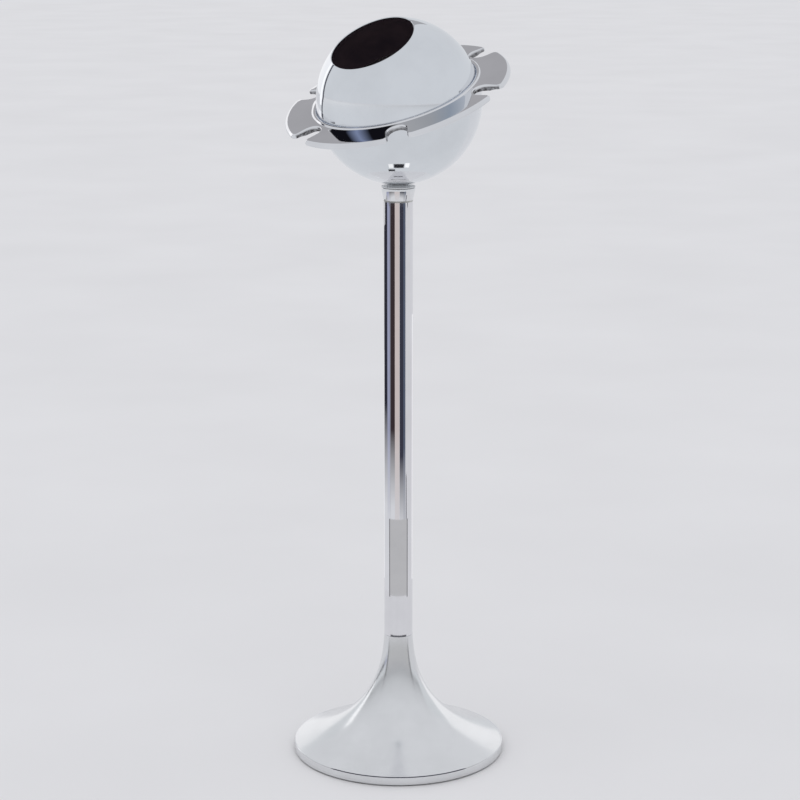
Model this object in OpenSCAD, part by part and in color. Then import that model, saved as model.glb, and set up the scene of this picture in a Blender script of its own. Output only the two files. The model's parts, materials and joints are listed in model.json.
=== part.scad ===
// Standing ball ashtray: a hollow ball with a round mouth rolls in a bowl with a six-petal ring.
// The bowl is held by a magnet in a turning cup on top of a tube column with a weighted trumpet base.
// Units are millimetres. The origin is the centre of the underside, +Z is up, and the front faces -Y.

/* [Base] */
// Radius of the base over its upright rim
base_r = 93; // [85:1:105]
// Height of the top edge of the upright rim
base_rim_z = 9; // [8:0.5:12]
// Height of the neck that the column stands on
base_neck_z = 107; // [100:1:120]
// Thickness of the spun sheet
base_wall = 1.2; // [1:0.1:1.5]
// Height of the ballast casting's top
ballast_z = 30; // [24:1:36]

/* [Column] */
// Outer radius of the tube
tube_r = 12.5; // [12.5:0.1:13]
// Wall of the tube
tube_wall = 1.2; // [1:0.1:1.5]
// Height of the tube's top end
tube_top_z = 493; // [440:1:560]

/* [Collar and turning cup] */
// Outer radius of the collar's upper rim
collar_r = 14.6; // [14:0.1:16]
// Height of the collar
collar_h = 11.5; // [11:0.5:12]
// Gap between pieces that move past each other
gap = 0.3; // [0.25:0.05:0.35]

/* [Bowl and ring] */
// Inner radius of the lower bowl
bowl_in_r = 69.9; // [69.8:0.1:70.2]
// Thickness of the bowl's sheet
bowl_wall = 0.8; // [0.7:0.1:0.9]
// Radius over the ring's rolled rim
ring_r = 97.7; // [95:0.1:100]
// Radius of the ring's throat
throat_r = 72.4; // [72.2:0.1:73]
// Number of notches between the ring's petals
notches = 6; // [4:1:6]
// Half width of a notch
notch_half = 8.3; // [7:0.1:9]
// Lean of the ring from level
ring_lean = 21.5; // [0:0.5:30]
// Compass direction of the lean, from +X towards +Y
lean_way = 227; // [180:1:270]

/* [Ball] */
// Outer radius of the ball
ball_r = 69.4; // [69.2:0.1:69.5]
// Thickness of the ball's sheet
ball_wall = 1; // [0.8:0.1:1.2]
// Radius of the round mouth
mouth_r = 36.5; // [30:0.5:40]
// Lean of the mouth beyond the ring's own lean
ball_lean = 11; // [0:0.5:30]

/* [Hidden] */
$fn = 96;
eps = 0.01;

// Foot
pad_h = 2;
pad_r = base_r - 8;
plate_t = 1.5;
plate_r = base_r - 5;
plate_top_z = pad_h + plate_t;
rim_foot_z = 1;
rim_bend_r = 1.2;
dish_r = 22;
dish_z = 12;
dish_slope = 4;
dish_top_z = dish_z + plate_t;
rod_hole_r = 4.3;
ballast_gap = 0.4;
ballast_low_z = 10.5;
ballast_top_r = 42;
ballast_bore_r = 10;

// Trumpet outline: a smooth curve from the neck down to the rim's top edge
neck_r = tube_r + 0.1;
flare_points = [
    [neck_r, base_neck_z],
    [neck_r + 2, base_neck_z - 58],
    [base_r - 47.5, base_rim_z + 15.4],
    [base_r - rim_bend_r, base_rim_z]
];
flare_steps = 26;

// Column hardware
rod_r = 4;
rod_low_z = 3;
plug_r = tube_r - tube_wall;
plug_h = 20;
plug_flange = 1;
spigot_r = 7;
spigot_h = 6;
rod_top_z = tube_top_z - 12;
nut_across = 13;
nut_h = 6.5;
washer_r = 10;
washer_t = 1.6;

// Turning cup
collar_top_z = tube_top_z + collar_h;
bowl_out_r = bowl_in_r + bowl_wall;
// The bowl's lowest point rests just over the cup
ball_z = 578;
collar_bore_r = 10;
boss_r = collar_bore_r - gap - 0.1;
collar_low_z = tube_top_z + plug_flange;
collar_low_r = tube_r + 0.2;
collar_round = 0.8;
thrust_t = 0.8;
boss_low_z = collar_low_z + thrust_t + gap;
cone_h = 3.4;
cone_top_r = 8.4;
screw_r = 2.52;
screw_bore_r = 2.6;
screw_head_r = 4.6;
screw_head_h = 2.4;
spring_r = 4.9;
spring_t = 1;
pocket_r = 5.6;
pocket_z = boss_low_z + 2.2;
magnet_r = 6.6;
magnet_low_z = pocket_z + 4.6;
magnet_top_z = ball_z - bowl_out_r - 0.4;

// Ring, in its own level frame with the ball's centre at the origin
tab_low_z = 5.6;
tab_top_z = tab_low_z + bowl_wall;
tab_r = 82;
tab_half = 17;
lip_tube = 1.4;
lip_z = 9;
plate_in_z = 8.4;
plate_out_z = 7;
sheet_t = 1.2;
roll_r = 3.4;
notch_in_r = 76;
notch_first = 28.3;
flange_low_z = 3.2;
flange_out = ring_r - 1.5;
corner_r = 4;
stud_at_r = 78;
stud_r = 1.5;
stud_out = 3.4;
stud_cover = 0.7;
ring_nut_across = 5.5;
ring_nut_h = 2.4;
glide_h = 1.1;

// Ball, in its own frame with the mouth upwards
ball_in_r = ball_r - ball_wall;
band_t = 0.9;
band_half = 8;
liner_t = 0.8;
liner_r = ball_in_r - band_t;
liner_top_z = 6;
mouth_collar_t = 1;
mouth_collar_h = 2.4;

// Longer than any cut needs
far = 20;

// A point on a cubic curve through four control points
function curve_at(p, t) = pow(1 - t, 3) * p[0] + 3 * pow(1 - t, 2) * t * p[1]
    + 3 * (1 - t) * t * t * p[2] + t * t * t * p[3];
// The unit direction along the curve
function curve_way(p, t) =
    let (d = pow(1 - t, 2) * (p[1] - p[0]) + 2 * (1 - t) * t * (p[2] - p[1]) + t * t * (p[3] - p[2]))
    d / norm(d);
// The flare's outline, moved inwards by a depth, from neck to rim
function flare(depth) = [
    for (i = [0 : flare_steps])
        let (t = i / flare_steps, way = curve_way(flare_points, t))
        curve_at(flare_points, t) + depth * [way[1], -way[0]]
];
// The same points, last one first
function turned(points) = [for (i = [len(points) - 1 : -1 : 0]) points[i]];
// Points round an arc, from angle a to angle b
function arc(c, r, a, b, n) = [
    for (i = [0 : n]) c + r * [cos(a + (b - a) * i / n), sin(a + (b - a) * i / n)]
];

// Moves a piece from the level ring frame to its leaning place
module in_ring() {
    translate([0, 0, ball_z])
        rotate(a = ring_lean, v = [cos(lean_way + 90), sin(lean_way + 90), 0])
            children();
}
// Moves a piece from the ball's upright frame to its leaning place
module in_ball() {
    translate([0, 0, ball_z])
        rotate(a = ring_lean + ball_lean, v = [cos(lean_way + 90), sin(lean_way + 90), 0])
            children();
}
module each_notch() {
    for (i = [0 : notches - 1])
        rotate([0, 0, notch_first + i * 360 / notches])
            children();
}
module each_petal() {
    for (i = [0 : notches - 1])
        rotate([0, 0, notch_first + (i + 0.5) * 360 / notches])
            children();
}
// Spherical shell below a height
module shell_below(r_out, r_in, top) {
    difference() {
        sphere(r = r_out);
        sphere(r = r_in);
        translate([0, 0, top]) cylinder(r = r_out + 1, h = r_out + 1);
    }
}
module tube(r_out, r_in, h) {
    difference() {
        cylinder(r = r_out, h = h);
        translate([0, 0, -1]) cylinder(r = r_in, h = h + 2);
    }
}

module nut(across, bore_r, h) {
    difference() {
        cylinder(r = across / 2 / cos(30), h = h, $fn = 6);
        translate([0, 0, -1]) cylinder(r = bore_r, h = h + 2);
    }
}

// Foot and base

// Felt disc that the whole thing stands on
module base_pad() {
    color("dimgray") cylinder(r = pad_r, h = pad_h);
}
// Closing plate, dished in the middle to make room for the nut
module base_plate() {
    color("slategray")
        rotate_extrude()
            polygon([
                [rod_hole_r, dish_z],
                [dish_r, dish_z],
                [dish_r + dish_slope, pad_h],
                [plate_r, pad_h],
                [plate_r, plate_top_z],
                [dish_r + dish_slope + plate_t / 2, plate_top_z],
                [dish_r + plate_t / 2, dish_top_z],
                [rod_hole_r, dish_top_z]
            ]);
}
// Cast ring that fills the foot of the trumpet, round the dish
module ballast() {
    color("dimgray")
        rotate_extrude()
            polygon(concat(
                [[dish_r + dish_slope + plate_t, plate_top_z], [plate_r - 3, plate_top_z]],
                [for (p = turned(flare(base_wall + ballast_gap)))
                    if (p[1] > ballast_low_z && p[1] < ballast_z) p],
                [[ballast_top_r, ballast_z], [ballast_bore_r, ballast_z]],
                [[ballast_bore_r, dish_top_z], [dish_r + plate_t, dish_top_z]]
            ));
}
// Spun trumpet with an upright rim below and a hem under the tube above
module base_shell() {
    hem_low_z = base_neck_z - base_wall;
    rim_in_r = base_r - base_wall;
    color("silver")
        rotate_extrude()
            polygon(concat(
                [[spigot_r, base_neck_z]],
                flare(0),
                arc([base_r - rim_bend_r, base_rim_z - rim_bend_r], rim_bend_r, 80, 0, 5),
                [[base_r, rim_foot_z], [rim_in_r, rim_foot_z], [rim_in_r, base_rim_z - base_wall - 0.2]],
                [for (p = turned(flare(base_wall))) if (p[1] < hem_low_z && p[0] < rim_in_r - 1) p],
                [[neck_r - base_wall, hem_low_z], [spigot_r, hem_low_z]]
            ));
}
module tie_rod() {
    color("gray")
        translate([0, 0, rod_low_z])
            cylinder(r = rod_r, h = rod_top_z - rod_low_z);
}
module base_washer() {
    color("gray")
        translate([0, 0, dish_z - washer_t])
            tube(washer_r, rod_hole_r, washer_t);
}
module base_nut() {
    color("gray")
        translate([0, 0, dish_z - washer_t - nut_h])
            nut(nut_across, rod_r, nut_h);
}

// Column

// Plug inside the tube's foot, with a spigot through the base's hem
module foot_plug() {
    color("gray")
        difference() {
            union() {
                translate([0, 0, base_neck_z]) cylinder(r = plug_r, h = plug_h);
                translate([0, 0, base_neck_z - spigot_h]) cylinder(r = spigot_r, h = spigot_h + eps);
            }
            translate([0, 0, base_neck_z - far]) cylinder(r = rod_hole_r, h = plug_h + 2 * far);
        }
}
module column_tube() {
    color("silver")
        translate([0, 0, base_neck_z])
            tube(tube_r, plug_r, tube_top_z - base_neck_z);
}
// Plug at the tube's top: its flange carries the collar, its holes take the rod and the screw
module top_plug() {
    color("gray")
        difference() {
            union() {
                translate([0, 0, tube_top_z - plug_h]) cylinder(r = plug_r, h = plug_h + eps);
                translate([0, 0, tube_top_z]) cylinder(r = tube_r, h = plug_flange);
            }
            translate([0, 0, rod_top_z - far]) cylinder(r = rod_r, h = far);
            translate([0, 0, rod_top_z - 1]) cylinder(r = screw_r, h = far);
        }
}
// Tapered collar, wider at its top
module collar() {
    round_c = [collar_r - collar_round, collar_top_z - collar_round];
    color("silver")
        rotate_extrude()
            polygon(concat(
                [[collar_bore_r, collar_low_z], [collar_low_r, collar_low_z]],
                [[collar_r - 0.2, collar_top_z - 3 * collar_round]],
                arc(round_c, collar_round, -60, 90, 6),
                [[collar_bore_r, collar_top_z]]
            ));
}
module thrust_washer() {
    color("ivory")
        translate([0, 0, collar_low_z])
            tube(boss_r, screw_r + 0.6, thrust_t);
}
// Shoulder screw in the top plug, the pin that the cup turns on
module seat_screw() {
    color("gray") {
        translate([0, 0, rod_top_z])
            cylinder(r = screw_r, h = pocket_z + spring_t + gap + eps - rod_top_z);
        translate([0, 0, pocket_z + spring_t + gap])
            cylinder(r = screw_head_r, h = screw_head_h);
    }
}

// Turning cup

// Conical cap with a boss in the collar's bore and a pocket for the magnet
module seat_cup() {
    flange_z = collar_top_z + gap;
    color("silver")
        difference() {
            union() {
                translate([0, 0, boss_low_z]) cylinder(r = boss_r, h = flange_z - boss_low_z + eps);
                translate([0, 0, flange_z]) cylinder(r1 = collar_r, r2 = cone_top_r, h = cone_h);
            }
            translate([0, 0, ball_z]) sphere(r = bowl_out_r + gap);
            translate([0, 0, boss_low_z - 1]) cylinder(r = screw_bore_r, h = far);
            translate([0, 0, pocket_z]) cylinder(r = pocket_r, h = far);
            translate([0, 0, magnet_low_z]) cylinder(r = magnet_r, h = far);
        }
}
module spring_washer() {
    color("gray")
        translate([0, 0, pocket_z])
            tube(spring_r, screw_r + gap, spring_t);
}
module seat_magnet() {
    color("dimgray")
        translate([0, 0, magnet_low_z])
            cylinder(r = magnet_r, h = magnet_top_z - magnet_low_z);
}

// Bowl and ring

// Spun bowl, with a tab turned out under each petal of the ring
module bowl() {
    color("silver")
        in_ring()
            difference() {
                union() {
                    shell_below(bowl_out_r, bowl_in_r, tab_top_z);
                    intersection() {
                        translate([0, 0, tab_low_z]) tube(tab_r, bowl_in_r, bowl_wall);
                        each_petal()
                            linear_extrude(height = far)
                                polygon([[0, 0], ring_r * [1, -tan(tab_half)], ring_r * [1, tan(tab_half)]]);
                    }
                }
                each_petal()
                    translate([stud_at_r, 0, 0]) cylinder(r = stud_r + 0.2, h = far, $fn = 32);
            }
}
// Soft strip in the ring's throat that holds the ball by friction
module glide_ring() {
    color("slategray")
        in_ring()
            difference() {
                translate([0, 0, tab_top_z]) cylinder(r = throat_r, h = glide_h);
                sphere(r = ball_r + gap);
            }
}
// Height of the ring plate's upper face at a radius
function plate_z(r) = plate_in_z + (plate_out_z - plate_in_z) * (r - throat_r) / (ring_r - throat_r);
stud_top_z = plate_z(stud_at_r) - stud_cover;
// Pressed ring: throat, rolled lip, petals with rolled-down rims, and notches edged by flanges
module rest_ring() {
    roll_c = [ring_r - roll_r, plate_z(ring_r - roll_r) - roll_r];
    lip_c = [throat_r - lip_tube, lip_z];
    plate_low = roll_c + (roll_r - sheet_t) * [0, 1];
    color("silver")
        in_ring()
            difference() {
                union() {
                    // Throat, plate and rim
                    rotate_extrude() {
                        polygon(concat(
                            [[throat_r, tab_top_z], [throat_r + sheet_t, tab_top_z]],
                            [[throat_r + sheet_t, plate_in_z - sheet_t]],
                            [plate_low],
                            arc(roll_c, roll_r - sheet_t, 80, -10, 8),
                            arc(roll_c, roll_r, -10, 90, 10),
                            [[throat_r + lip_tube, plate_in_z], lip_c + lip_tube * [cos(60), sin(60)]],
                            [lip_c, [throat_r, lip_z - lip_tube / 2]]
                        ));
                        translate(lip_c) circle(r = lip_tube, $fn = 32);
                    }
                    // Flanges round the notches
                    intersection() {
                        translate([0, 0, flange_low_z]) cylinder(r = flange_out, h = far);
                        each_notch()
                            translate([0, 0, flange_low_z])
                                linear_extrude(height = plate_out_z - 0.2 - flange_low_z)
                                    notch_plan(notch_half + sheet_t);
                    }
                }
                // Notches
                each_notch()
                    linear_extrude(height = far)
                        notch_plan(notch_half);
                // Rounded corners of the petals
                each_notch()
                    linear_extrude(height = far)
                        corner_notch();
                // Studs' feet
                each_petal()
                    translate([stud_at_r, 0, tab_low_z - 1])
                        cylinder(r = stud_r, h = stud_top_z - tab_low_z + 1, $fn = 32);
            }
}
// Plan of a notch: parallel sides and a round inner end
module notch_plan(half) {
    end_x = notch_in_r + notch_half;
    translate([end_x, 0]) circle(r = half, $fn = 64);
    translate([end_x, -half]) square([ring_r + 3 - end_x, 2 * half]);
}
// Plan of what is cut from the rim beside a notch
module corner_notch() {
    side_y = notch_half + corner_r;
    side_x = sqrt(pow(ring_r - corner_r, 2) - pow(side_y, 2));
    turn = atan2(side_y, side_x);
    side = arc([side_x, side_y], corner_r, -90, turn, 8);
    polygon(concat(
        [[side_x, 0]],
        side,
        [[ring_r + 3, side_y], [ring_r + 3, -side_y]],
        [for (p = turned(side)) [p[0], -p[1]]]
    ));
}
module ring_studs() {
    color("gray")
        in_ring()
            each_petal()
                translate([stud_at_r, 0, tab_low_z - stud_out])
                    cylinder(r = stud_r, h = stud_top_z - tab_low_z + stud_out, $fn = 32);
}
module ring_nuts() {
    color("gray")
        in_ring()
            each_petal()
                translate([stud_at_r, 0, tab_low_z - ring_nut_h])
                    nut(ring_nut_across, stud_r, ring_nut_h);
}

// Ball

// Upper part of the ball, with a short collar turned in round its mouth
module ball_dome() {
    collar_low = sqrt(pow(ball_r, 2) - pow(mouth_r, 2)) - mouth_collar_h;
    color("silver")
        in_ball()
            union() {
                difference() {
                    sphere(r = ball_r);
                    sphere(r = ball_in_r);
                    translate([0, 0, -ball_r - 1]) cylinder(r = ball_r + 1, h = ball_r + 1);
                    cylinder(r = mouth_r, h = ball_r + 1);
                }
                translate([0, 0, collar_low])
                    tube(mouth_r + mouth_collar_t, mouth_r, mouth_collar_h - ball_wall);
            }
}
module ball_base() {
    color("silver")
        in_ball()
            shell_below(ball_r, ball_in_r, 0);
}
// Band inside the two halves
module ball_band() {
    color("gray")
        in_ball()
            intersection() {
                difference() {
                    sphere(r = ball_in_r);
                    sphere(r = liner_r);
                }
                translate([0, 0, -band_half]) cylinder(r = ball_r, h = 2 * band_half);
            }
}
// Blackened liner that catches the ash
module ash_liner() {
    color("black")
        in_ball()
            shell_below(liner_r, liner_r - liner_t, liner_top_z);
}

base_pad();
base_plate();
ballast();
base_shell();
tie_rod();
base_washer();
base_nut();
foot_plug();
column_tube();
top_plug();
collar();
thrust_washer();
seat_screw();
seat_cup();
spring_washer();
seat_magnet();
bowl();
glide_ring();
rest_ring();
ring_studs();
ring_nuts();
ball_dome();
ball_base();
ball_band();
ash_liner();
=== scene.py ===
"""Looks of the standing ball ashtray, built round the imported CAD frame.

Metres, +Z up, the front faces -Y. Lengths named with a capital are millimetres times MM.
"""
import json
import math

import bmesh
import bpy
from mathutils import Matrix, Vector


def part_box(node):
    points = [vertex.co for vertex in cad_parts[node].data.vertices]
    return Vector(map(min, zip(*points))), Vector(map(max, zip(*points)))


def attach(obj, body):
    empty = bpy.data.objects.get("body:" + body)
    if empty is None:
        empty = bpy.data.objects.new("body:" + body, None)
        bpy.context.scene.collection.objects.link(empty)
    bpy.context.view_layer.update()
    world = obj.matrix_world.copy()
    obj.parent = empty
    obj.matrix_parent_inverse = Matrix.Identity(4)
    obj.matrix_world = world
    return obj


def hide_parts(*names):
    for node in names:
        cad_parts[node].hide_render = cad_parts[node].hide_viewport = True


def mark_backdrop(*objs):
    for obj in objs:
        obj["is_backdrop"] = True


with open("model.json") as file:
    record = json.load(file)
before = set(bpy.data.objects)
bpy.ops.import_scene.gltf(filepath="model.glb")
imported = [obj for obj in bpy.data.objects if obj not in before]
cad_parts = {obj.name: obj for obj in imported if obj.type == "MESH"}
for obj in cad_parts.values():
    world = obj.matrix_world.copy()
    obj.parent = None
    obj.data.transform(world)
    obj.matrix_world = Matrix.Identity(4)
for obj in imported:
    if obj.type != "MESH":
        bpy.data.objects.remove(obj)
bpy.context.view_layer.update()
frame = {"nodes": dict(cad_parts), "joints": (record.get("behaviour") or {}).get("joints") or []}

MM = 0.001
joints = {joint["name"]: joint for joint in frame["joints"]}
CENTRE = Vector(joints["head_tilt"]["pos_m"])
TILT_AXIS = Vector(joints["head_tilt"]["axis"])

# Driving sizes. Most are the CAD source's; the ring's lip, sheet and petal corners are the visual's own
BASE_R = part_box("base_shell")[1].x
NECK_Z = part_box("base_shell")[1].z
TUBE_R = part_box("column_tube")[1].x
TUBE_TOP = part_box("column_tube")[1].z
COLLAR_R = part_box("collar")[1].x
COLLAR_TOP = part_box("collar")[1].z
CUP_LOW = COLLAR_TOP + 0.3 * MM
PAD_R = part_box("base_pad")[1].x
PAD_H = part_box("base_pad")[1].z
RIM_Z = 9 * MM
RIM_FOOT = 1 * MM
RIM_BEND = 1.2 * MM
BASE_WALL = 1.2 * MM
TUBE_WALL = 1.2 * MM
SPIGOT_R = 7 * MM

RING_LEAN = math.radians(21.5)
BALL_LEAN = math.radians(32.5)
BALL_R = 69.4 * MM
BALL_WALL = 1.0 * MM
MOUTH_R = 36.5 * MM
MOUTH_EDGE = 0.5 * MM
MOUTH_WALL = 0.8 * MM
MOUTH_DROP = 2.4 * MM
LINER_R = 67.5 * MM
LINER_WALL = 0.8 * MM
LINER_TOP = 6 * MM
BOWL_R = 70.7 * MM
BOWL_WALL = 0.8 * MM
TAB_LOW = 5.6 * MM
TAB_R = 82 * MM
TAB_HALF = math.radians(17)

RING_R = 97.7 * MM
THROAT_R = 72.4 * MM
LIP_R = 1.4 * MM
LIP_RISE = 0.7 * MM
LIP_Z = 8.8 * MM
PLATE_IN = 8.4 * MM
PLATE_OUT = 7 * MM
SHEET = 0.9 * MM
PETALS = 6
NOTCH_HALF = 8.3 * MM
NOTCH_IN = 76 * MM
NOTCH_FIRST = math.radians(28.3)
CORNER = 4.6 * MM

SEGMENTS = 256

in_ring = Matrix.Translation(CENTRE) @ Matrix.Rotation(RING_LEAN, 4, TILT_AXIS)
in_ball = Matrix.Translation(CENTRE) @ Matrix.Rotation(BALL_LEAN, 4, TILT_AXIS)
upright = Matrix.Identity(4)
in_ball_turn = in_ball.to_3x3().inverted()


# ---------------------------------------------------------------- mesh helpers

def arc(centre_r, centre_z, radius, start, end, steps):
    """Points round an arc in the (radius, height) plane, angles in degrees."""
    points = []
    for i in range(steps + 1):
        a = math.radians(start + (end - start) * i / steps)
        points.append((centre_r + radius * math.cos(a), centre_z + radius * math.sin(a)))
    return points


def finish_mesh(bm, name, place, materials, sharp=32):
    """Turns a bmesh into a smooth object with sharp edges where its faces turn by more than sharp."""
    bmesh.ops.remove_doubles(bm, verts=bm.verts, dist=2e-6)
    bmesh.ops.dissolve_degenerate(bm, edges=bm.edges, dist=1e-7)
    bmesh.ops.recalc_face_normals(bm, faces=bm.faces)
    mesh = bpy.data.meshes.new(name)
    bm.transform(place)
    bm.to_mesh(mesh)
    bm.free()
    for polygon in mesh.polygons:
        polygon.use_smooth = True
    mesh.set_sharp_from_angle(angle=math.radians(sharp))
    for material in materials:
        mesh.materials.append(material)
    piece = bpy.data.objects.new(name, mesh)
    bpy.context.scene.collection.objects.link(piece)
    return piece


def lathe_into(bm, outline, segments=SEGMENTS, closed=True):
    """Turns an outline of (radius, height) points round the Z axis."""
    rings = []
    for radius, height in outline:
        ring = []
        for i in range(segments):
            a = math.tau * i / segments
            ring.append(bm.verts.new((radius * math.cos(a), radius * math.sin(a), height)))
        rings.append(ring)
    pairs = list(zip(rings, rings[1:]))
    if closed:
        pairs.append((rings[-1], rings[0]))
    for low, high in pairs:
        for i in range(segments):
            j = (i + 1) % segments
            bm.faces.new((low[i], low[j], high[j], high[i]))


def lathe(name, outline, place, materials, closed=True, sharp=32):
    """A turned piece from one closed outline."""
    bm = bmesh.new()
    lathe_into(bm, outline, closed=closed)
    return finish_mesh(bm, name, place, materials, sharp)


def paint(piece, slot_index, chosen):
    """Gives the faces whose centre passes the test another of the piece's materials."""
    for polygon in piece.data.polygons:
        if chosen(polygon.center - CENTRE):
            polygon.material_index = slot_index


def stands_for(piece, body, slot, *nodes):
    """The piece rides on a body and hides the CAD nodes it stands for."""
    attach(piece, body)
    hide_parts(*nodes)
    return piece


# ------------------------------------------------------------------- materials

class Nodes:
    """A short hand for building a material's node tree."""

    def __init__(self, name, place=None, material=None):
        self.place = place
        self.material = material or bpy.data.materials.new(name)
        self.material.use_nodes = True
        self.tree = self.material.node_tree
        self.shader = self.tree.nodes["Principled BSDF"]

    def add(self, kind, **values):
        node = self.tree.nodes.new(kind)
        for key, value in values.items():
            if hasattr(node, key):
                setattr(node, key, value)
            else:
                node.inputs[key].default_value = value
        return node

    def link(self, source, target):
        self.tree.links.new(source, target)

    def object_point(self):
        """The surface point in the piece's own upright frame."""
        point = self.add("ShaderNodeTexCoord").outputs["Object"]
        if self.place is None:
            return point
        back = self.place.inverted()
        node = self.add("ShaderNodeMapping")
        node.inputs["Location"].default_value = back.translation
        node.inputs["Rotation"].default_value = back.to_euler()
        self.link(point, node.inputs["Vector"])
        return node.outputs["Vector"]

    def noise(self, point, scale, detail=4, roughness=0.5):
        node = self.add("ShaderNodeTexNoise")
        node.inputs["Scale"].default_value = scale
        node.inputs["Detail"].default_value = detail
        node.inputs["Roughness"].default_value = roughness
        self.link(point, node.inputs["Vector"])
        return node.outputs["Fac"]

    def spread(self, value, low, high, out_low, out_high):
        """Maps a range of a value onto another range."""
        node = self.add("ShaderNodeMapRange")
        sockets = ("From Min", "From Max", "To Min", "To Max")
        for socket, number in zip(sockets, (low, high, out_low, out_high)):
            node.inputs[socket].default_value = number
        self.link(value, node.inputs["Value"])
        return node.outputs["Result"]

    def colours(self, value, stops):
        """A colour ramp through (position, colour) stops."""
        node = self.add("ShaderNodeValToRGB")
        ramp = node.color_ramp
        while len(ramp.elements) < len(stops):
            ramp.elements.new(0.5)
        for element, (position, colour) in zip(ramp.elements, stops):
            element.position = position
            element.color = (*colour, 1)
        self.link(value, node.inputs["Fac"])
        return node.outputs["Color"]

    def math(self, operation, a, b):
        node = self.add("ShaderNodeMath", operation=operation)
        for socket, value in zip(node.inputs, (a, b)):
            if isinstance(value, (int, float)):
                socket.default_value = value
            else:
                self.link(value, socket)
        return node.outputs["Value"]

    def bump(self, height, strength, distance, below=None):
        node = self.add("ShaderNodeBump")
        node.inputs["Strength"].default_value = strength
        node.inputs["Distance"].default_value = distance
        self.link(height, node.inputs["Height"])
        if below is not None:
            self.link(below, node.inputs["Normal"])
        return node.outputs["Normal"]

    def radius_and_height(self, point):
        """A point's distance from the Z axis, and its height."""
        parts = self.add("ShaderNodeSeparateXYZ")
        self.link(point, parts.inputs["Vector"])
        square = self.math("ADD", self.math("MULTIPLY", parts.outputs["X"], parts.outputs["X"]),
                           self.math("MULTIPLY", parts.outputs["Y"], parts.outputs["Y"]))
        return self.math("SQRT", square, 0), parts.outputs["Z"]

    def turned_point(self, point):
        """A point that only knows its distance from the Z axis and its height, for turning marks."""
        radius, height = self.radius_and_height(point)
        made = self.add("ShaderNodeCombineXYZ")
        self.link(radius, made.inputs["X"])
        self.link(height, made.inputs["Y"])
        return made.outputs["Vector"]


def chrome(name, tint, rough, smudge=0.05, marks=0.02, wave=0.02, place=None):
    """Polished chrome: faint dull patches in the colour, smudged roughness, turning marks, slight waves."""
    n = Nodes(name, place)
    point = n.object_point()
    n.shader.inputs["Metallic"].default_value = 1.0
    cloud = n.noise(point, 22, 5, 0.6)
    dim = tuple(c * 0.93 for c in tint)
    n.link(n.colours(cloud, [(0.3, dim), (0.62, tint)]), n.shader.inputs["Base Color"])
    patches = n.spread(n.noise(point, 34, 6, 0.65), 0.45, 0.75, 0, smudge)
    rings = n.spread(n.noise(n.turned_point(point), 1900, 2), 0.3, 0.7, rough, rough * 1.7)
    n.link(n.math("ADD", patches, rings), n.shader.inputs["Roughness"])
    waves = n.bump(n.noise(point, 55, 1), wave, 0.0004)
    fine = n.bump(n.noise(n.turned_point(point), 2600, 1), marks, 0.00005, waves)
    n.link(fine, n.shader.inputs["Normal"])
    return n.material


def paint_dark_reflection(material, place, inner_r, outer_r, high, low, colour):
    """Painted dark reflection and shade: darkens a turned piece's metal below a height between two radii,
    in uneven patches.
    """
    n = Nodes(material.name, place, material)
    point = n.object_point()
    radius, height = n.radius_and_height(point)
    inside = n.math("MULTIPLY", n.spread(radius, inner_r, inner_r + MM, 0, 1),
                    n.spread(radius, outer_r - MM, outer_r, 1, 0))
    deep = n.spread(height, high, low, 0, 1)
    patches = n.spread(n.noise(point, 260, 4, 0.6), 0.35, 0.6, 0.55, 1)
    amount = n.math("MULTIPLY", n.math("MULTIPLY", inside, deep), patches)
    mix = n.add("ShaderNodeMix", data_type="RGBA")
    n.link(amount, mix.inputs["Factor"])
    base = n.shader.inputs["Base Color"]
    n.link(base.links[0].from_socket, mix.inputs["A"])
    mix.inputs["B"].default_value = (*colour, 1)
    n.link(mix.outputs["Result"], base)
    return material


def worn_metal(name, tint, dark, rough, metallic=1.0, grain=400, depth=0.00008, strength=0.3):
    """Plated or cast metal with mottled colour and a grainy surface."""
    n = Nodes(name)
    point = n.object_point()
    n.shader.inputs["Metallic"].default_value = metallic
    mottle = n.noise(point, 90, 6, 0.6)
    n.link(n.colours(mottle, [(0.35, dark), (0.65, tint)]), n.shader.inputs["Base Color"])
    n.link(n.spread(mottle, 0.3, 0.7, rough * 1.5, rough), n.shader.inputs["Roughness"])
    n.link(n.bump(n.noise(point, grain, 3), strength, depth), n.shader.inputs["Normal"])
    return n.material


def soot(name, low, high, rough):
    """Blackened steel with a mottled film of ash."""
    n = Nodes(name)
    point = n.object_point()
    n.shader.inputs["Metallic"].default_value = 0.0
    cloud = n.noise(point, 45, 7, 0.62)
    n.link(n.colours(cloud, [(0.32, low), (0.72, high)]), n.shader.inputs["Base Color"])
    n.link(n.spread(cloud, 0.3, 0.7, rough, rough * 1.6), n.shader.inputs["Roughness"])
    n.link(n.bump(n.noise(point, 700, 4), 0.25, 0.00015), n.shader.inputs["Normal"])
    return n.material


def felt(name, low, high):
    """Pressed felt: matted fibres in colour and height, with a soft sheen."""
    n = Nodes(name)
    point = n.object_point()
    n.shader.inputs["Roughness"].default_value = 0.95
    n.shader.inputs["Sheen Weight"].default_value = 0.4
    n.shader.inputs["Sheen Roughness"].default_value = 0.6
    fibre = n.noise(point, 900, 8, 0.75)
    n.link(n.colours(fibre, [(0.35, low), (0.65, high)]), n.shader.inputs["Base Color"])
    n.link(n.bump(fibre, 0.8, 0.0006), n.shader.inputs["Normal"])
    return n.material


def plastic(name, tint, shade, rough, grain=900):
    """Moulded plastic with a faint mottle and a fine matt grain."""
    n = Nodes(name)
    point = n.object_point()
    cloud = n.noise(point, 120, 4)
    n.link(n.colours(cloud, [(0.35, shade), (0.65, tint)]), n.shader.inputs["Base Color"])
    n.link(n.spread(cloud, 0.3, 0.7, rough, rough * 1.25), n.shader.inputs["Roughness"])
    n.link(n.bump(n.noise(point, grain, 2), 0.15, 0.00006), n.shader.inputs["Normal"])
    return n.material


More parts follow.
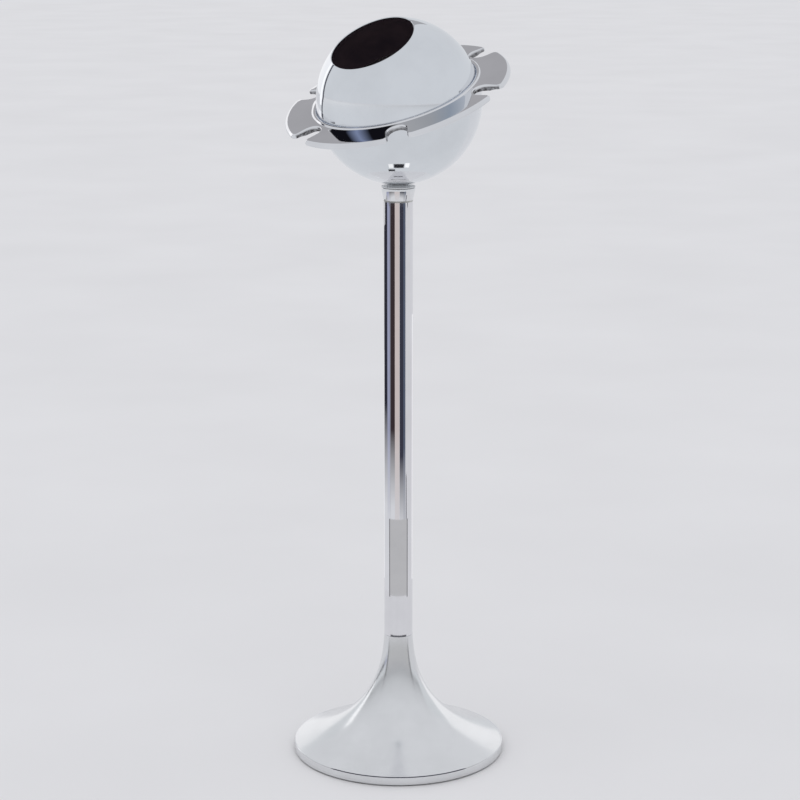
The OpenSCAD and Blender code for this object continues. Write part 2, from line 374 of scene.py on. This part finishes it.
chrome_base = chrome("chrome_base", (0.80, 0.81, 0.82), 0.12, 0.06)
chrome_tube = chrome("chrome_tube", (0.84, 0.84, 0.86), 0.014, 0.02, 0.01, 0.012)
chrome_cap = chrome("chrome_cap", (0.84, 0.84, 0.85), 0.03, 0.03)
satin_cup = chrome("satin_cup", (0.78, 0.79, 0.80), 0.24, 0.08)
satin_cup.node_tree.nodes["Principled BSDF"].inputs["Metallic"].default_value = 0.25
chrome_ball = chrome("chrome_ball", (0.80, 0.82, 0.85), 0.03, 0.04, 0.01, 0.01, in_ball)
chrome_bowl = chrome("chrome_bowl", (0.80, 0.815, 0.84), 0.05, 0.04, 0.01, 0.01, in_ring)
chrome_ring = chrome("chrome_ring", (0.82, 0.82, 0.84), 0.03, 0.03, 0.01, 0.015, in_ring)
# Painted dark reflection and shade on the ring's turned-down notch flanges, rolled rim edge and underside
paint_dark_reflection(chrome_ring, in_ring, 74.2 * MM, 95.5 * MM, 7.0 * MM, 5.4 * MM, (0.055, 0.05, 0.055))
zinc_steel = worn_metal("zinc_steel", (0.60, 0.60, 0.57), (0.46, 0.46, 0.44), 0.30)
cast_iron = worn_metal("cast_iron", (0.17, 0.17, 0.17), (0.09, 0.09, 0.09), 0.6, 0.6, 260, 0.0004, 0.7)
magnet = worn_metal("magnet", (0.13, 0.13, 0.14), (0.08, 0.08, 0.09), 0.5, 0.3, 500, 0.0001, 0.4)
soot_liner = soot("black_liner", (0.090, 0.068, 0.092), (0.20, 0.135, 0.155), 0.38)
soot_inside = soot("soot_inside", (0.105, 0.080, 0.105), (0.21, 0.145, 0.165), 0.40)
grey_felt = felt("felt", (0.05, 0.05, 0.055), (0.14, 0.14, 0.15))
throat_strip = plastic("throat_strip", (0.50, 0.56, 0.68), (0.42, 0.48, 0.60), 0.42)
nylon = plastic("nylon", (0.86, 0.84, 0.76), (0.76, 0.73, 0.64), 0.45)


# ------------------------------------------------------------------ base piece

def bezier(points, t):
    """A point on a cubic curve and its unit direction."""
    u = 1 - t
    weights = (u ** 3, 3 * u * u * t, 3 * u * t * t, t ** 3)
    place = [sum(w * p[k] for w, p in zip(weights, points)) for k in range(2)]
    slopes = (u * u, 2 * u * t, t * t)
    way = [sum(s * (q[k] - p[k]) for s, p, q in zip(slopes, points, points[1:])) for k in range(2)]
    length = math.hypot(*way)
    return place, (way[0] / length, way[1] / length)


def flare(depth, steps=90):
    """The trumpet's outline from neck to rim, moved inwards by a depth."""
    neck = TUBE_R + 0.1 * MM
    controls = [(neck, NECK_Z), (neck + 2 * MM, NECK_Z - 58 * MM),
                (BASE_R - 47.5 * MM, RIM_Z + 15.4 * MM), (BASE_R - RIM_BEND, RIM_Z)]
    outline = []
    for i in range(steps + 1):
        place, way = bezier(controls, i / steps)
        outline.append((place[0] + depth * way[1], place[1] - depth * way[0]))
    return outline


def make_base_shell():
    """Spun trumpet: hem under the tube, flare, rounded upright rim and the sheet's inside."""
    inside = [p for p in reversed(flare(BASE_WALL))
              if p[1] < NECK_Z - BASE_WALL and p[0] < BASE_R - 2 * BASE_WALL]
    outline = [(SPIGOT_R, NECK_Z)]
    outline += flare(0)
    outline += arc(BASE_R - RIM_BEND, RIM_Z - RIM_BEND, RIM_BEND, 76, 0, 8)
    outline += arc(BASE_R - BASE_WALL / 2, RIM_FOOT + BASE_WALL / 2, BASE_WALL / 2, 0, -180, 8)
    outline += [(BASE_R - BASE_WALL, RIM_Z - 2.4 * MM)]
    outline += inside
    outline += [(TUBE_R - BASE_WALL, NECK_Z - BASE_WALL), (SPIGOT_R, NECK_Z - BASE_WALL)]
    piece = lathe("trumpet_base", outline, upright, [chrome_base])
    return stands_for(piece, "stand", "chrome_base", "base_shell")


def make_felt_pad():
    """Felt disc with soft edges and a slightly uneven face."""
    edge = 0.7 * MM
    outline = [(0, PAD_H), (PAD_R * 0.5, PAD_H)]
    outline += arc(PAD_R - edge, PAD_H - edge, edge, 90, 0, 5)
    outline += arc(PAD_R - edge, edge, edge, 0, -90, 5)
    rings = 40
    outline += [((PAD_R - edge) * (1 - i / rings), 0) for i in range(1, rings + 1)]
    piece = lathe("felt_pad", outline, upright, [grey_felt], sharp=60)
    for vertex in piece.data.vertices:
        co = vertex.co
        lump = math.sin(co.x * 310) * math.sin(co.y * 270 + 1) + math.sin(co.x * 90 - co.y * 130)
        if co.z < edge:
            co.z += 0.08 * MM * (1 + 0.5 * lump)
    return stands_for(piece, "stand", "felt", "base_pad")


# ---------------------------------------------------------------- column piece

def make_tube():
    """Drawn tube with a small break at both ends."""
    low = NECK_Z
    edge = 0.25 * MM
    inner = TUBE_R - TUBE_WALL
    steps = 24
    side = [(TUBE_R, low + edge + (TUBE_TOP - low - 2 * edge) * i / steps) for i in range(steps + 1)]
    outline = [(inner, low), (TUBE_R - edge, low)] + side
    outline += [(TUBE_R - edge, TUBE_TOP), (inner, TUBE_TOP)]
    piece = lathe("tube_column", outline, upright, [chrome_tube])
    return stands_for(piece, "stand", "chrome_tube", "column_tube")


def make_collar():
    """Tapered collar with a rolled upper rim."""
    low = TUBE_TOP + 1 * MM
    rim = 0.8 * MM
    bore = 10 * MM
    foot = TUBE_R + 0.2 * MM
    edge = 0.3 * MM
    outline = [(bore, low), (foot - edge, low)]
    outline += arc(foot - edge, low + edge, edge, -90, -10, 4)
    outline += [(COLLAR_R - 0.2 * MM, COLLAR_TOP - 3 * rim)]
    outline += arc(COLLAR_R - rim, COLLAR_TOP - rim, rim, -12, 90, 10)
    outline += [(bore, COLLAR_TOP)]
    piece = lathe("tapered_collar", outline, upright, [chrome_cap])
    return stands_for(piece, "stand", "chrome_cap", "collar")


def make_cup():
    """Turning cup: cone, hollow seat for the bowl, pocket for the magnet and boss in the collar."""
    boss = 9.6 * MM
    boss_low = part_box("seat_cup")[0].z
    pocket_z = boss_low + 2.2 * MM
    magnet_z = pocket_z + 4.6 * MM
    cone_h = 3.4 * MM
    cone_r = 8.4 * MM
    seat_r = BOWL_R + 0.3 * MM
    rim = 0.5 * MM
    cone = []
    steps = 10
    for i in range(steps + 1):
        t = i / steps
        cone.append((COLLAR_R - rim + (cone_r - COLLAR_R + rim) * t,
                     CUP_LOW + rim + (cone_h - rim - 0.7 * MM) * t - 0.35 * MM * math.sin(math.pi * t)))
    magnet_r = 6.6 * MM
    seat_z = CENTRE.z - math.sqrt(seat_r ** 2 - magnet_r ** 2)
    lip_z = CENTRE.z - math.sqrt(seat_r ** 2 - cone_r ** 2)
    outline = [(2.6 * MM, boss_low), (boss, boss_low), (boss, CUP_LOW)]
    outline += arc(COLLAR_R - rim, CUP_LOW + rim, rim, -90, 60, 8)
    outline += cone[1:-1]
    outline += [(cone_r, lip_z - 0.1 * MM), (cone_r - 0.3 * MM, lip_z), (magnet_r, seat_z)]
    outline += [(magnet_r, magnet_z), (5.6 * MM, magnet_z), (5.6 * MM, pocket_z), (2.6 * MM, pocket_z)]
    piece = lathe("turning_cup", outline, upright, [satin_cup])
    return stands_for(piece, "seat", "chrome_cap", "seat_cup")


# ------------------------------------------------------------------ bowl piece

def latitude(radius, height):
    """Angle of a height on a sphere, in degrees."""
    return math.degrees(math.asin(height / radius))


def make_bowl():
    """Spun bowl with its rim turned out into six tabs under the ring."""
    bm = bmesh.new()
    inner = BOWL_R - BOWL_WALL
    top = TAB_LOW + BOWL_WALL / 2
    outline = arc(0, 0, BOWL_R, -90, latitude(BOWL_R, top), 110)
    outline += list(reversed(arc(0, 0, inner, -90, latitude(inner, top), 110)))
    lathe_into(bm, outline, closed=False)
    steps = 16
    for k in range(PETALS):
        middle = NOTCH_FIRST + (k + 0.5) * math.tau / PETALS
        tab = []
        for i in range(steps + 1):
            share = i / steps * 2 - 1
            a = middle + TAB_HALF * share
            reach = TAB_R - 5 * MM * abs(share) ** 6
            tab.append([bm.verts.new((r * math.cos(a), r * math.sin(a), z)) for r, z in (
                (inner + 0.4 * MM, TAB_LOW), (reach, TAB_LOW),
                (reach, TAB_LOW + BOWL_WALL), (inner + 0.4 * MM, TAB_LOW + BOWL_WALL))])
        for a, b in zip(tab, tab[1:]):
            for i in range(4):
                j = (i + 1) % 4
                bm.faces.new((a[i], b[i], b[j], a[j]))
        bm.faces.new(tab[0])
        bm.faces.new(list(reversed(tab[-1])))
    piece = finish_mesh(bm, "spun_bowl", in_ring, [chrome_bowl])
    return stands_for(piece, "head", "chrome_ball", "bowl")


# ------------------------------------------------------------------ ring piece

def plate_z(r):
    """Height of the ring plate's upper face at a radius."""
    return PLATE_IN + (PLATE_OUT - PLATE_IN) * (r - THROAT_R) / (RING_R - THROAT_R)


def smooth(t):
    """Eases from 0 to 1."""
    t = min(max(t, 0), 1)
    return t * t * (3 - 2 * t)


def edge_points():
    """The petal's edge over half a sixth, from a notch's inner end out to the rim's middle.

    Each entry is (x, y, outward normal, roll radius, straight drop, angle at the throat); the notch
    lies along the X axis.
    """
    entries = []
    end_x = NOTCH_IN + NOTCH_HALF
    corner_y = NOTCH_HALF + CORNER
    corner_x = math.sqrt((RING_R - CORNER) ** 2 - corner_y ** 2)
    corner_turn = math.degrees(math.atan2(corner_y, corner_x))

    end_steps = 18
    for i in range(end_steps):
        t = i / end_steps
        a = math.radians(180 - 90 * t)
        way = (-math.cos(a), -math.sin(a))
        entries.append((end_x - NOTCH_HALF * way[0], -NOTCH_HALF * way[1], way,
                        (1.2 + 1.0 * smooth(t)) * MM, (2.9 - 0.4 * t) * MM, 8.7 * t))
    side_steps = 8
    for i in range(side_steps):
        t = i / side_steps
        entries.append((end_x + (corner_x - end_x) * t, NOTCH_HALF, (0, -1),
                        (2.2 - 0.4 * smooth(t)) * MM, (2.5 - 1.1 * smooth(t)) * MM, 8.7 + 3.3 * t))
    corner_steps = 16
    for i in range(corner_steps):
        t = i / corner_steps
        a = math.radians(-90 + (90 + corner_turn) * t)
        way = (math.cos(a), math.sin(a))
        entries.append((corner_x + CORNER * way[0], corner_y + CORNER * way[1], way,
                        (1.8 + 1.1 * smooth(t)) * MM, (1.4 - 1.1 * smooth(t)) * MM,
                        12 + 3 * t))
    rim_steps = 36
    for i in range(rim_steps + 1):
        t = i / rim_steps
        a = math.radians(corner_turn + (30 - corner_turn) * t)
        way = (math.cos(a), math.sin(a))
        entries.append((RING_R * way[0], RING_R * way[1], way,
                        (2.9 + 0.5 * math.sin(math.pi * t / 2)) * MM, 0.3 * MM, 15 + 15 * t))
    return entries


def ring_section(entry):
    """Points round the sheet through one edge point: throat, lip, plate, rolled edge and underside."""
    x, y, way, roll, drop, throat_angle = entry
    a = math.radians(throat_angle)
    outwards = (math.cos(a), math.sin(a))

    def at_throat(r, z):
        return (r * outwards[0], r * outwards[1], z)

    def at_edge(inset, z):
        px, py = x - inset * way[0], y - inset * way[1]
        return (px, py, plate_z(math.hypot(px, py)) + z)

    low = TAB_LOW + BOWL_WALL
    points = [at_throat(THROAT_R, low), at_throat(THROAT_R, low + 1.2 * MM)]
    lip_r = THROAT_R - LIP_R
    for i in range(19):
        turn = math.radians(-40 - 275 * i / 18)
        points.append(at_throat(lip_r + LIP_R * math.cos(turn), LIP_Z + LIP_RISE * math.sin(turn)))
    start_r = THROAT_R + 1.1 * MM
    points.append(at_throat(THROAT_R + 0.35 * MM, plate_z(THROAT_R) + 0.15 * MM))
    start = at_throat(start_r, plate_z(start_r))
    end = at_edge(roll, 0)
    plate_steps = 6
    points.append(start)
    for i in range(1, plate_steps + 1):
        t = i / plate_steps
        px, py = (start[k] + (end[k] - start[k]) * t for k in range(2))
        points.append((px, py, plate_z(math.hypot(px, py))))
    for i in range(1, 10):
        turn = math.radians(10 * i)
        points.append(at_edge(roll - roll * math.sin(turn), -roll + roll * math.cos(turn)))
    points.append(at_edge(0, -roll - drop / 2))
    half = SHEET / 2
    for i in range(7):
        turn = math.radians(30 * i)
        points.append(at_edge(half - half * math.cos(turn), -roll - drop - half * math.sin(turn)))
    for i in range(6):
        turn = math.radians(18 * i)
        inner = roll - SHEET
        points.append(at_edge(roll - inner * math.cos(turn), -roll + inner * math.sin(turn)))
    under_end = at_edge(roll, -SHEET)
    under_r = THROAT_R + SHEET
    under_start = at_throat(under_r, plate_z(under_r) - SHEET)
    points.append(under_end)
    for i in range(1, plate_steps):
        t = i / plate_steps
        px, py = (under_end[k] + (under_start[k] - under_end[k]) * t for k in range(2))
        points.append((px, py, plate_z(math.hypot(px, py)) - SHEET))
    points.append(under_start)
    points.append(at_throat(under_r, low))
    return points


def make_ring():
    """Pressed ring: lip, six petals with rolled rims, and notches edged by turned-down flanges."""
    half = [ring_section(entry) for entry in edge_points()]
    sixth = math.tau / PETALS
    c, s = math.cos(sixth), math.sin(sixth)
    other = []
    for section in reversed(half[1:-1]):
        other.append([(px * c + py * s, px * s - py * c, pz) for px, py, pz in section])
    bm = bmesh.new()
    columns = []
    for k in range(PETALS):
        turn = Matrix.Rotation(NOTCH_FIRST + k * sixth, 4, "Z")
        for section in half + other:
            columns.append([bm.verts.new(turn @ Vector(point)) for point in section])
    count = len(columns[0])
    for k in range(len(columns)):
        here = columns[k]
        there = columns[(k + 1) % len(columns)]
        for i in range(count):
            j = (i + 1) % count
            bm.faces.new((here[i], there[i], there[j], here[j]))
    piece = finish_mesh(bm, "rest_ring_pressing", in_ring, [chrome_ring], sharp=50)
    return stands_for(piece, "head", "chrome_ring", "rest_ring")


def make_throat_strip():
    """Soft strip in the throat, with a thin wiping edge that stands up between the ball and the lip."""
    wipe_r = BALL_R + 0.28 * MM
    low = TAB_LOW + BOWL_WALL
    top = 9.0 * MM
    outline = arc(0, 0, wipe_r, latitude(wipe_r, low), latitude(wipe_r, top), 8)
    outline += [(69.45 * MM, top - 0.1 * MM), (69.55 * MM, 8.0 * MM), (70.6 * MM, 7.55 * MM)]
    outline += [(THROAT_R - 0.05 * MM, 7.45 * MM), (THROAT_R - 0.05 * MM, low)]
    piece = lathe("throat_wiper", outline, in_ring, [throat_strip])
    return stands_for(piece, "head", "throat_strip", "glide_ring")


# ------------------------------------------------------------------ ball piece

def make_dome():
    """Upper part of the ball, with a collar turned in round its mouth and a fine joint line below."""
    inner = BALL_R - BALL_WALL
    groove = 0.25 * MM
    edge_c = MOUTH_R + MOUTH_EDGE
    edge_z = math.sqrt((BALL_R - MOUTH_EDGE) ** 2 - edge_c ** 2)
    edge_turn = math.degrees(math.atan2(edge_z, edge_c))
    low = math.sqrt(BALL_R ** 2 - MOUTH_R ** 2) - MOUTH_DROP
    wall = MOUTH_WALL / 2
    back_r = MOUTH_R + MOUTH_WALL
    back_z = math.sqrt(inner ** 2 - back_r ** 2)
    outline = [(inner, groove), (BALL_R - groove, groove)]
    outline += arc(0, 0, BALL_R, 2 * math.degrees(groove / BALL_R), edge_turn, 100)
    outline += arc(edge_c, edge_z, MOUTH_EDGE, edge_turn + 8, 180, 10)
    outline += arc(MOUTH_R + wall, low + wall, wall, 180, 360, 10)
    outline += list(reversed(arc(0, 0, inner, math.degrees(groove / inner),
                                 math.degrees(math.atan2(back_z, back_r)), 70)))
    piece = lathe("ball_upper", outline, in_ball, [chrome_ball, soot_inside])
    half = BALL_R - BALL_WALL / 2
    paint(piece, 1, lambda c: c.length < half and (in_ball_turn @ c).z < low - MM)
    return stands_for(piece, "ball", "chrome_ball", "ball_dome")


def make_ball_base():
    """Lower half of the ball."""
    inner = BALL_R - BALL_WALL
    outline = arc(0, 0, BALL_R, -90, -0.25, 110)
    outline += [(BALL_R - 0.25 * MM, 0), (inner, 0)]
    outline += list(reversed(arc(0, 0, inner, -90, 0, 90)))
    piece = lathe("ball_lower", outline, in_ball, [chrome_ball, soot_inside], closed=False)
    half = BALL_R - BALL_WALL / 2
    paint(piece, 1, lambda c: c.length < half)
    return stands_for(piece, "ball", "chrome_ball", "ball_base")


def make_liner():
    """Blackened liner: a thin cup with a turned edge."""
    inner = LINER_R - LINER_WALL
    top = latitude(LINER_R, LINER_TOP)
    edge_r = math.sqrt(inner ** 2 - LINER_TOP ** 2)
    outline = arc(0, 0, LINER_R, -90, top, 90)
    outline += arc(edge_r + LINER_WALL / 2, LINER_TOP, LINER_WALL / 2, 30, 150, 6)
    outline += list(reversed(arc(0, 0, inner, -90, latitude(inner, LINER_TOP), 90)))
    piece = lathe("ash_cup", outline, in_ball, [soot_liner], closed=False)
    return stands_for(piece, "ball", "black_liner", "ash_liner")


make_base_shell()
make_felt_pad()
make_tube()
make_collar()
make_cup()
make_bowl()
make_ring()
make_throat_strip()
make_dome()
make_ball_base()
make_liner()

cad_materials = {
    "base_plate": zinc_steel, "ballast": cast_iron, "tie_rod": zinc_steel, "base_washer": zinc_steel,
    "base_nut": zinc_steel, "foot_plug": zinc_steel, "top_plug": zinc_steel, "thrust_washer": nylon,
    "seat_screw": zinc_steel, "spring_washer": zinc_steel, "seat_magnet": magnet,
    "ring_studs": zinc_steel, "ring_nuts": zinc_steel, "ball_band": zinc_steel,
}
for node_name, material in cad_materials.items():
    node = frame["nodes"][node_name]
    node.data.materials.clear()
    node.data.materials.append(material)


# ----------------------------------------------------------------------- stage

FLOOR_LOW = (0.795, 0.780, 0.785)
FLOOR_HIGH = (0.825, 0.810, 0.815)
LIGHT = (0.74, 0.75, 0.78)
SKY = (0.715, 0.735, 0.765)


def emission(name, colour, fade=None, to=LIGHT):
    """Glowing card. With a fade it turns to another colour between two distances from the column."""
    n = Nodes(name)
    n.tree.nodes.remove(n.shader)
    shader = n.add("ShaderNodeEmission")
    shader.inputs["Color"].default_value = (*colour, 1)
    if fade is not None:
        parts = n.add("ShaderNodeSeparateXYZ")
        n.link(n.object_point(), parts.inputs["Vector"])
        square = n.math("ADD", n.math("MULTIPLY", parts.outputs["X"], parts.outputs["X"]),
                        n.math("MULTIPLY", parts.outputs["Y"], parts.outputs["Y"]))
        share = n.spread(n.math("SQRT", square, 0), fade[0], fade[1], 0, 1)
        n.link(n.colours(share, [(0, to), (1, colour)]), shader.inputs["Color"])
    n.link(shader.outputs[0], n.tree.nodes["Material Output"].inputs["Surface"])
    return n.material


def only_reflected(card):
    """A card that lights nothing and is seen only in polished metal."""
    card.visible_camera = False
    card.visible_diffuse = False
    card.visible_shadow = False
    card.visible_transmission = False


def direction(azimuth):
    """Level direction. Azimuth 0 is the front, and positive turns to the viewer's right."""
    a = math.radians(azimuth)
    return Vector((math.sin(a), -math.cos(a), 0))


def card(name, azimuth, width, inner, outer, colour, fade=None, to=LIGHT):
    """A reflected card round the column between two (radius, height) edges."""
    bm = bmesh.new()
    steps = 16
    edge = []
    for i in range(steps + 1):
        way = direction(azimuth + width * (i / steps - 0.5))
        edge.append([bm.verts.new(way * r + Vector((0, 0, z))) for r, z in (inner, outer)])
    for a, b in zip(edge, edge[1:]):
        bm.faces.new((a[0], b[0], b[1], a[1]))
    mesh = bpy.data.meshes.new(name)
    bm.to_mesh(mesh)
    bm.free()
    mesh.materials.append(emission(name, colour, fade, to))
    made = bpy.data.objects.new(name, mesh)
    bpy.context.scene.collection.objects.link(made)
    only_reflected(made)
    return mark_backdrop(made)


def make_cards():
    """Dark, gray and coloured cards that the polished surfaces mirror, under a light canopy.

    Their places and colours were fitted to the photo from the camera's one view.
    """
    level = 2 * MM
    roof = 0.4925
    end = 3.5
    for name, azimuth, width, colour, fade in (
            ("floor_dark_left", -124, 52, (0.030, 0.030, 0.042), (0.8, 1.35)),
            ("floor_lavender", -85, 26, (0.36, 0.38, 0.52), (0.7, 1.2)),
            ("floor_gray_left", -68, 8, (0.20, 0.20, 0.24), (0.7, 1.2)),
            ("floor_dark_red", -46, 36, (0.045, 0.032, 0.035), (0.8, 1.2)),
            ("floor_beige", -10, 36, (0.66, 0.58, 0.56), (0.5, 1.2)),
            ("floor_navy", 25, 30, (0.045, 0.047, 0.070), (0.7, 1.05)),
            ("floor_blue_gray", 49, 18, (0.10, 0.12, 0.17), (0.6, 1.1)),
            ("floor_line_right", 66, 6, (0.10, 0.10, 0.13), None)):
        card(name, azimuth, width, (0.46, level), (end if fade else 0.95, level), colour, fade)
    card("canopy", -11, 238, (0.036, roof), (end + 0.2, roof), (0.47, 0.48, 0.50), (0.5, 2.2))
    # The canopy's top is a fan of slices that get a little dimmer towards the right
    slices = 24
    fan_start = -131
    fan_width = 240
    for i in range(slices):
        azimuth = fan_start + fan_width * (i + 0.5) / slices
        dim = 0.17 * min(max((azimuth + 77) / 110, 0), 1)
        card("canopy_top_%02d" % i, azimuth, fan_width / slices, (0.036, roof + MM), (end + 0.2, roof + MM),
             (0.79 - dim, 0.80 - dim, 0.82 - dim), (0.3, 1.6), SKY)
    card("front_wall", 0, 146, (0.45, level), (0.45, 0.088), (0.54, 0.54, 0.55))
    card("seam_line", 0, 132, (0.296, level), (0.320, level), (0.06, 0.06, 0.07))
    card("front_end", 0, 146, (end, 0), (end, roof), (0.50, 0.50, 0.52))
    for side in (-1, 1):
        card("leg_%d" % (side + 1), side * 77, 8, (end - 0.1, 0), (end - 0.1, roof), (0.2, 0.2, 0.21))
        card("leg_wall_%d" % (side + 1), side * 75, 10, (0.449, 0), (0.449, 0.088), (0.25, 0.25, 0.26))
        card("leg_roof_%d" % (side + 1), side * 77, 8, (0.5, roof - 2 * MM), (end, roof - 2 * MM),
             (0.25, 0.25, 0.26), (0.5, 2.6))
    card("rim_line", 0, 84, (0.100, 0.006), (0.100, 0.024), (0.03, 0.03, 0.05))

    card("dark_line", -128, 4, (3.4, roof), (3.4, 2.9), (0.10, 0.10, 0.12))
    card("dark_line_low", -128, 4, (0.3, roof + 2 * MM), (3.4, roof + 2 * MM), (0.10, 0.10, 0.12))
    card("gray_back", -167.5, 50, (3.0, 1.95), (2.3, 3.9), (0.42, 0.42, 0.44))
    card("canopy_hole_left", -105, 60, (0.016, roof), (0.036, roof), LIGHT)
    card("canopy_hole_right", 92, 36, (0.016, roof), (0.036, roof), LIGHT)
    card("canopy_back", 169, 122, (0.016, roof), (0.8, roof), LIGHT)
    card("white_left", -150, 36, (0.5, 0.57), (0.5, 0.80), (1.02, 1.02, 1.04))
    card("white_flank_left", -136, 9, (3.1, 0), (3.1, 2.6), (1.2, 1.2, 1.22))
    card("white_back_left", -157, 16, (0.5, 0), (0.5, 0.26), (0.98, 0.98, 1.0))
    card("white_back_right", 146, 22, (0.5, 0), (0.5, 0.30), (0.98, 0.98, 1.0))

    over = roof + 3 * MM
    card("spot_dark", 1, 16, (0.044, over), (0.052, over), (0.03, 0.03, 0.035))
    card("spot_dark_low", -12, 12, (0.037, over), (0.041, over), (0.03, 0.03, 0.035))
    card("spot_white_left", -12, 7, (0.044, over), (0.052, over), (1.1, 1.1, 1.1))
    card("spot_white_right", 14, 7, (0.045, over), (0.054, over), (1.2, 1.2, 1.2))


def screen(name, start, stop, stops):
    """A one-sided card in front of the ball, above the lip, that only the ring's petals mirror.

    It runs between two directions in the ring's frame, and its colours are stops along the way.
    """
    n = Nodes(name, in_ring)
    n.tree.nodes.remove(n.shader)
    parts = n.add("ShaderNodeSeparateXYZ")
    n.link(n.object_point(), parts.inputs["Vector"])
    turn = n.math("ARCTAN2", parts.outputs["Y"], parts.outputs["X"])
    share = n.spread(turn, math.radians(start - 360), math.radians(stop - 360), 0, 1)
    shine = n.add("ShaderNodeEmission")
    n.link(n.colours(share, stops), shine.inputs["Color"])
    clear = n.add("ShaderNodeBsdfTransparent")
    mix = n.add("ShaderNodeMixShader")
    n.link(n.add("ShaderNodeNewGeometry").outputs["Backfacing"], mix.inputs["Fac"])
    n.link(shine.outputs[0], mix.inputs[1])
    n.link(clear.outputs[0], mix.inputs[2])
    n.link(mix.outputs[0], n.tree.nodes["Material Output"].inputs["Surface"])
    bm = bmesh.new()
    steps = 40
    edge = []
    for i in range(steps + 1):
        a = math.radians(start + (stop - start) * i / steps)
        edge.append([bm.verts.new(in_ring @ Vector((r * math.cos(a), r * math.sin(a), z)))
                     for r, z in arc(0, 0, 70 * MM, 8.5, 27, 6)])
    for a, b in zip(edge, edge[1:]):
        for i in range(6):
            bm.faces.new((a[i], b[i], b[i + 1], a[i + 1]))
    mesh = bpy.data.meshes.new(name)
    bm.to_mesh(mesh)
    bm.free()
    mesh.materials.append(n.material)
    made = bpy.data.objects.new(name, mesh)
    bpy.context.scene.collection.objects.link(made)
    only_reflected(made)


def make_screen():
    black = (0.006, 0.006, 0.009)
    blue = (0.22, 0.27, 0.42)
    gray = (0.40, 0.41, 0.43)
    screen("petal_screen", 200, 326, [
        (0.0, LIGHT), (0.06, black), (0.22, black), (0.30, blue), (0.38, black), (0.50, black),
        (0.55, gray), (0.73, (0.36, 0.38, 0.41)), (0.86, (0.30, 0.35, 0.42)), (1.0, (0.45, 0.49, 0.55))])


def make_floor():
    n = Nodes("floor")
    cloud = n.noise(n.object_point(), 3, 3)
    n.link(n.colours(cloud, [(0.3, FLOOR_LOW), (0.7, FLOOR_HIGH)]), n.shader.inputs["Base Color"])
    n.shader.inputs["Roughness"].default_value = 0.8
    n.shader.inputs["Specular IOR Level"].default_value = 0
    bm = bmesh.new()
    size = 60
    corners = [bm.verts.new((x * size, y * size, 0)) for x, y in ((-1, -1), (1, -1), (1, 1), (-1, 1))]
    bm.faces.new(corners)
    mesh = bpy.data.meshes.new("floor")
    bm.to_mesh(mesh)
    bm.free()
    mesh.materials.append(n.material)
    floor = bpy.data.objects.new("floor", mesh)
    bpy.context.scene.collection.objects.link(floor)


def make_world():
    world = bpy.data.worlds.new("studio")
    bpy.context.scene.world = world
    world.use_nodes = True
    background = world.node_tree.nodes["Background"]
    background.inputs["Color"].default_value = (*SKY, 1)
    background.inputs["Strength"].default_value = 1.0


def make_sun():
    """Broad overhead light for the floor, which the metal doesn't mirror."""
    data = bpy.data.lights.new("soft_sun", "SUN")
    data.energy = 0.55
    data.angle = math.radians(100)
    lamp = bpy.data.objects.new("soft_sun", data)
    bpy.context.scene.collection.objects.link(lamp)
    lamp.rotation_euler = (math.radians(12), math.radians(-10), 0)
    lamp.visible_glossy = False


def make_camera():
    data = bpy.data.cameras.new("camera")
    data.sensor_width = 36
    data.lens = 100.8
    camera = bpy.data.objects.new("camera", data)
    bpy.context.scene.collection.objects.link(camera)
    camera.location = (1.4 * MM, -1.891, 0.760)
    camera.rotation_euler = (math.radians(90 - 13.12), 0, 0)
    bpy.context.scene.camera = camera


make_cards()
make_screen()
make_floor()
make_world()
make_sun()
make_camera()
view = bpy.context.scene.view_settings
view.view_transform = "Standard"
